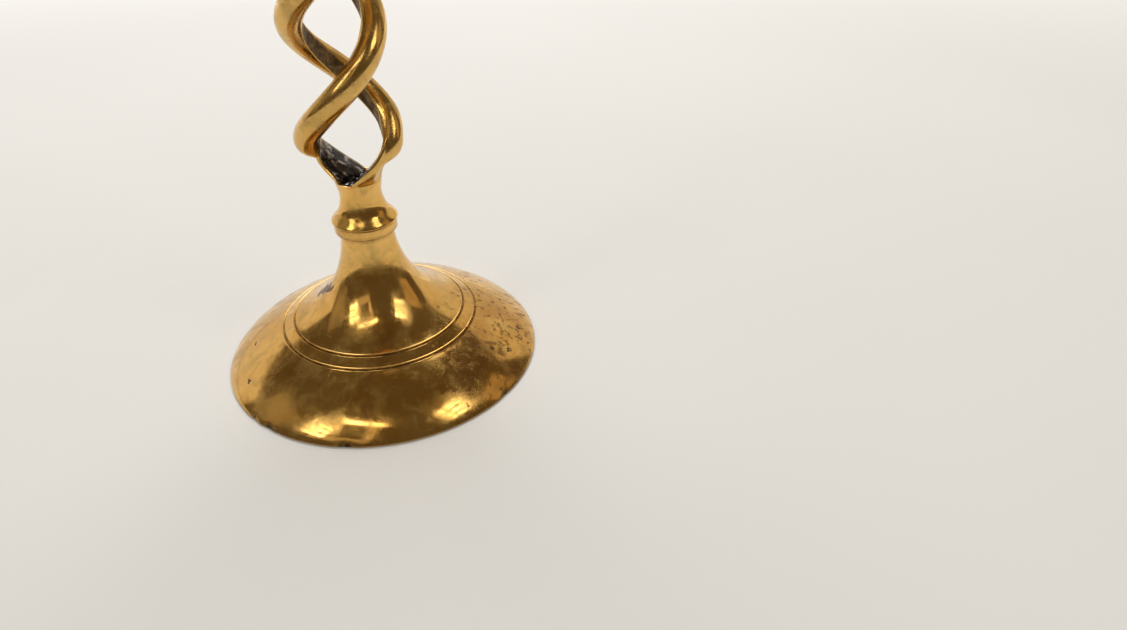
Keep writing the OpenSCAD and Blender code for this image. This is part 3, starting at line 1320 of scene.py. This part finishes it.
            # Points crowd together at the two ridges
            q -= self.crowding * math.sin(math.tau * q / self.ridge) if abs(q) < self.ridge else 0
            vert[raw] = self.on_flat(q)
            vert[tin] = 1 - ease((self.from_neck(h) - self.tin_from) / self.tin_over)
            vert[grime] = 0.0
            vert[dull] = 1.0
            vert.co = self.surface(q, h)
        swing(bm, math.radians(self.turn_by))
        bmesh.ops.recalc_face_normals(bm, faces=bm.faces)
        return [finish_piece(bm, self.name, self.node, [finishes.brass])]


# Fasteners --------------------------------------------------------------------

@dataclass
class Fasteners:
    """The stud, washer and nut that hold the neck to the foot, and the stud of the cup."""

    at: Heights
    stud_r: float = 3.0
    stud_steps: int = 48
    pitch: float = 1.0
    slices_a_turn: int = 8
    thread_depth: float = 0.5
    thread_end: float = 0.6
    washer_bore: float = 3.2
    washer_edge: float = 0.2
    washer_steps: int = 72
    nut_af: float = 10.0
    nut_bore: float = 3.05
    nut_face: float = 0.2
    nut_bevel: Point = (0.4, 0.5)
    nut_chamfer: float = 0.1
    nut_slope: float = 1.73
    nut_steps: int = 96
    nut_levels: tuple[float, ...] = (0.02, 0.25, 0.6, 0.9)

    def stud(self, finishes: Finishes, name: str, node: str) -> Piece:
        """Makes a threaded stud where the frame has a plain one.

        Args:
            finishes: the shared materials.
            name: the piece's name.
            node: the CAD node that it stands for.

        Returns:
            The piece.
        """
        low, high = (corner.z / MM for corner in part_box(node))
        slices = round((high - low) / self.pitch * self.slices_a_turn)
        side = [(self.stud_r, mix(low, high, i / slices)) for i in range(slices + 1)]
        bm = turned([(0, low)] + side + [(0, high)], steps=self.stud_steps)
        for vert in bm.verts:
            co = vert.co
            radius = off_axis(co)
            if radius < 0.1:
                continue
            share = (co.z / self.pitch - math.atan2(co.y, co.x) / math.tau) % 1
            end = clamp01(min(co.z - low, high - co.z) / self.thread_end)
            co.xy *= (radius - self.thread_depth * mix(1, abs(2 * share - 1), end)) / radius
        paint(bm, grime=nowhere)
        return finish_piece(bm, name, node, [finishes.steel])

    def washer(self, finishes: Finishes) -> Piece:
        """Makes the washer with eased edges.

        Args:
            finishes: the shared materials.

        Returns:
            The piece.
        """
        low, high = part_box("foot_washer")
        outer, bottom, top, edge = high.x / MM, low.z / MM, high.z / MM, self.washer_edge
        ring = (
            [(self.washer_bore, top), (self.washer_bore, bottom)]
            + eased((outer - edge, bottom + edge), -90, edge)
            + eased((outer - edge, top - edge), 0, edge)
            + [(self.washer_bore, top)]
        )
        bm = turned(ring, steps=self.washer_steps)
        return finish_piece(bm, "boss_washer", "foot_washer", [finishes.steel])

    def nut(self, finishes: Finishes) -> Piece:
        """Makes the hexagon nut with chamfered corners and a bevelled bore.

        Args:
            finishes: the shared materials.

        Returns:
            The piece.
        """
        bottom, top = (corner.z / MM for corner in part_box("foot_nut"))
        flat, bore, sixth = self.nut_af / 2, self.nut_bore, math.tau / 6
        corner = flat / math.cos(sixth / 2)
        levels = [bottom + up for up in self.nut_levels] + [top - down for down in self.nut_levels[::-1]]
        wide, deep = self.nut_bevel
        face = flat - self.nut_face
        ring = (
            [(bore, top - deep), (bore, bottom + deep), (bore + wide, bottom), (face, bottom)]
            + [(corner, z) for z in levels]
            + [(face, top), (bore + wide, top), (bore, top - deep)]
        )
        bm = turned(ring, steps=self.nut_steps)
        for vert in bm.verts:
            co = vert.co
            radius = off_axis(co)
            if radius < flat:
                continue
            side = flat / math.cos(math.atan2(co.y, co.x) % sixth - sixth / 2)
            cone = flat - self.nut_chamfer + self.nut_slope * min(co.z - bottom, top - co.z)
            co.xy *= min(side, cone) / radius
        return finish_piece(bm, "boss_nut", "foot_nut", [finishes.steel])

    def build(self, finishes: Finishes) -> list[Piece]:
        """Makes all fasteners.

        Args:
            finishes: the shared materials.

        Returns:
            The pieces.
        """
        return [
            self.stud(finishes, "threaded_foot_stud", "foot_stud"),
            self.stud(finishes, "threaded_cup_stud", "cup_stud"),
            self.washer(finishes),
            self.nut(finishes),
        ]


# Studio -----------------------------------------------------------------------

DAYLIGHT: Colour = (1.0, 0.95, 0.82)
LAMPLIGHT: Colour = (1.0, 0.88, 0.70)


@dataclass(frozen=True)
class Softbox:
    """A flat light seen from the object in one direction, whole or cut into panes."""

    name: str
    azimuth: float
    elevation: float
    distance: float
    width: float
    height: float
    radiance: float
    colour: Colour
    roll: float = 0.0
    columns: int = 1
    rows: int = 1
    bar: float = 0.3

    def build(self, aim: Vector) -> None:
        """Hangs the light, pane by pane.

        Args:
            aim: the point that it faces.
        """
        a, e = math.radians(self.azimuth), math.radians(self.elevation)
        away = Vector((math.sin(a) * math.cos(e), math.cos(a) * math.cos(e), math.sin(e)))
        facing = away.to_track_quat("Z", "Y").to_matrix() @ Matrix.Rotation(math.radians(self.roll), 3, "Z")
        wide, tall = self.width / self.columns, self.height / self.rows
        for i in range(self.columns):
            for j in range(self.rows):
                data = bpy.data.lights.new(f"{self.name}_{i}_{j}", "AREA")
                data.shape = "RECTANGLE"
                data.size = wide * (1 - self.bar * (self.columns > 1))
                data.size_y = tall * (1 - self.bar * (self.rows > 1))
                data.energy = self.radiance * math.pi * data.size * data.size_y
                data.color = self.colour
                light = bpy.data.objects.new(data.name, data)
                across = Vector((wide * (i + 0.5 - self.columns / 2), tall * (j + 0.5 - self.rows / 2), 0))
                light.location = aim + away * self.distance + facing @ across
                light.rotation_euler = facing.to_euler()
                light.visible_camera = False
                bpy.context.scene.collection.objects.link(light)


@dataclass
class Studio:
    """The pale floor, the soft light and the camera."""

    camera_at: tuple[float, float, float] = (68.4, -253.0, 186.2)
    tilt: float = 34.457
    roll: float = -0.99
    lens: float = 26.0
    aim: tuple[float, float, float] = (0, 0, 40)
    floor_r: float = 5.0
    floor_grey: float = 0.88
    floor_uneven: float = 0.01
    floor_roughness: float = 0.9
    black: Colour = (0.0, 0.0, 0.0)
    white: Colour = (0.98, 0.99, 1.0)
    glow: Fade = (0.45, 1.9, 0.07, 0.74)
    room: Colour = (0.112, 0.088, 0.058)
    pale: Colour = (0.93, 0.93, 0.93)
    lights: tuple[Softbox, ...] = (
        Softbox("window_left", -130, 41, 1.3, 0.34, 0.46, 5.5, DAYLIGHT, 0, 3, 3),
        Softbox("window_left_bar", -157, 59, 1.3, 0.62, 0.07, 4.5, DAYLIGHT, 6),
        Softbox("window_left_pane", -170, 46, 1.3, 0.10, 0.42, 0.8, LAMPLIGHT),
        Softbox("window_right", 115, 47, 1.3, 0.42, 0.50, 4.8, DAYLIGHT, 0, 3, 3),
        Softbox("front_low", -150, 33, 1.3, 0.85, 0.20, 0.45, LAMPLIGHT),
        Softbox("back_left", -50, 13, 1.3, 1.55, 0.62, 0.66, (1.0, 0.94, 0.84)),
        Softbox("back_right", 23, 20, 1.3, 1.50, 1.00, 0.58, (1.0, 0.93, 0.80)),
        Softbox("side_left", -97, 26, 1.3, 0.5, 0.75, 0.24, (1.0, 0.88, 0.66)),
        Softbox("side_right", 84, 26, 1.3, 0.50, 0.70, 0.36, (1.0, 0.72, 0.44)),
        Softbox("overhead", -8, 58, 1.5, 1.3, 1.0, 3.7, (1.0, 0.99, 0.97)),
    )

    def camera(self) -> None:
        """Stands the camera a little above the foot, looking down on it."""
        data = bpy.data.cameras.new("camera")
        data.lens = self.lens
        data.clip_start = 0.01
        camera = bpy.data.objects.new("camera", data)
        camera.location = Vector(self.camera_at) * MM
        looking = Matrix.Rotation(math.radians(90 - self.tilt), 3, "X")
        camera.rotation_euler = (looking @ Matrix.Rotation(math.radians(self.roll), 3, "Z")).to_euler()
        bpy.context.scene.collection.objects.link(camera)
        bpy.context.scene.camera = camera

    def floor(self) -> None:
        """Lays the plain pale floor, which glows far away so that it meets the backdrop."""
        s = Shader("pale_floor", 0.0)
        darkest, lightest = self.floor_grey - self.floor_uneven, self.floor_grey + self.floor_uneven
        tone = s.between(s.grain(300, 2, 0.5), 0.3, 0.7, darkest, lightest)
        s.dress(s.blend(tone, self.black, self.white), self.floor_roughness)
        s.feed(s.surface.inputs["Emission Strength"], s.between(s.around, *self.glow))
        s.feed(s.surface.inputs["Emission Color"], (*self.pale, 1))
        bm = bmesh.new()
        bmesh.ops.create_circle(bm, segments=96, radius=self.floor_r, cap_ends=True)
        mesh = bpy.data.meshes.new("floor")
        bm.to_mesh(mesh)
        bm.free()
        mesh.materials.append(s.material)
        slab = bpy.data.objects.new("floor", mesh)
        bpy.context.scene.collection.objects.link(slab)

    def world(self) -> None:
        """Sets a dim warm room for the reflections and a pale backdrop behind the floor."""
        world = bpy.data.worlds.new("room")
        world.use_nodes = True
        tree = world.node_tree
        room = tree.nodes["Background"]
        room.inputs[0].default_value = (*self.room, 1)
        backdrop = tree.nodes.new("ShaderNodeBackground")
        backdrop.inputs[0].default_value = (*self.pale, 1)
        chosen = tree.nodes.new("ShaderNodeMixShader")
        rays = tree.nodes.new("ShaderNodeLightPath")
        tree.links.new(rays.outputs["Is Camera Ray"], chosen.inputs[0])
        tree.links.new(room.outputs[0], chosen.inputs[1])
        tree.links.new(backdrop.outputs[0], chosen.inputs[2])
        tree.links.new(chosen.outputs[0], tree.nodes["World Output"].inputs[0])
        bpy.context.scene.world = world

    def build(self) -> None:
        """Sets the whole studio."""
        self.camera()
        self.floor()
        self.world()
        for light in self.lights:
            light.build(Vector(self.aim) * MM)
        bpy.context.scene.view_settings.view_transform = "Standard"


def main() -> None:
    """Builds the studio and every piece."""
    logging.basicConfig(level=logging.INFO, format="%(message)s")
    Studio().build()
    finishes = Finishes(OldBrass().material(), CastBrass().material(), Steel().material())
    at = Heights.read()
    for part in (
        Foot(at),
        Neck(at, "turned_lower_neck", "lower_neck", at.neck_seat, upside_down=False),
        Neck(at, "turned_upper_neck", "upper_neck", at.cup_seat, upside_down=True),
        Rod(at, "twist_rod_a", "rod_a", 0, (Press(9.8, 2.7, 1.7), Press(15.2, 4.2, -1.1))),
        Rod(at, "twist_rod_b", "rod_b", 180, (Press(5.8, 2.9, 3.3),)),
        CandleCup(at),
        Fasteners(at),
    ):
        for piece in part.build(finishes):
            LOG.info("%s: %d faces", piece.name, len(piece.data.polygons))


if __name__ == "__main__":
    main()
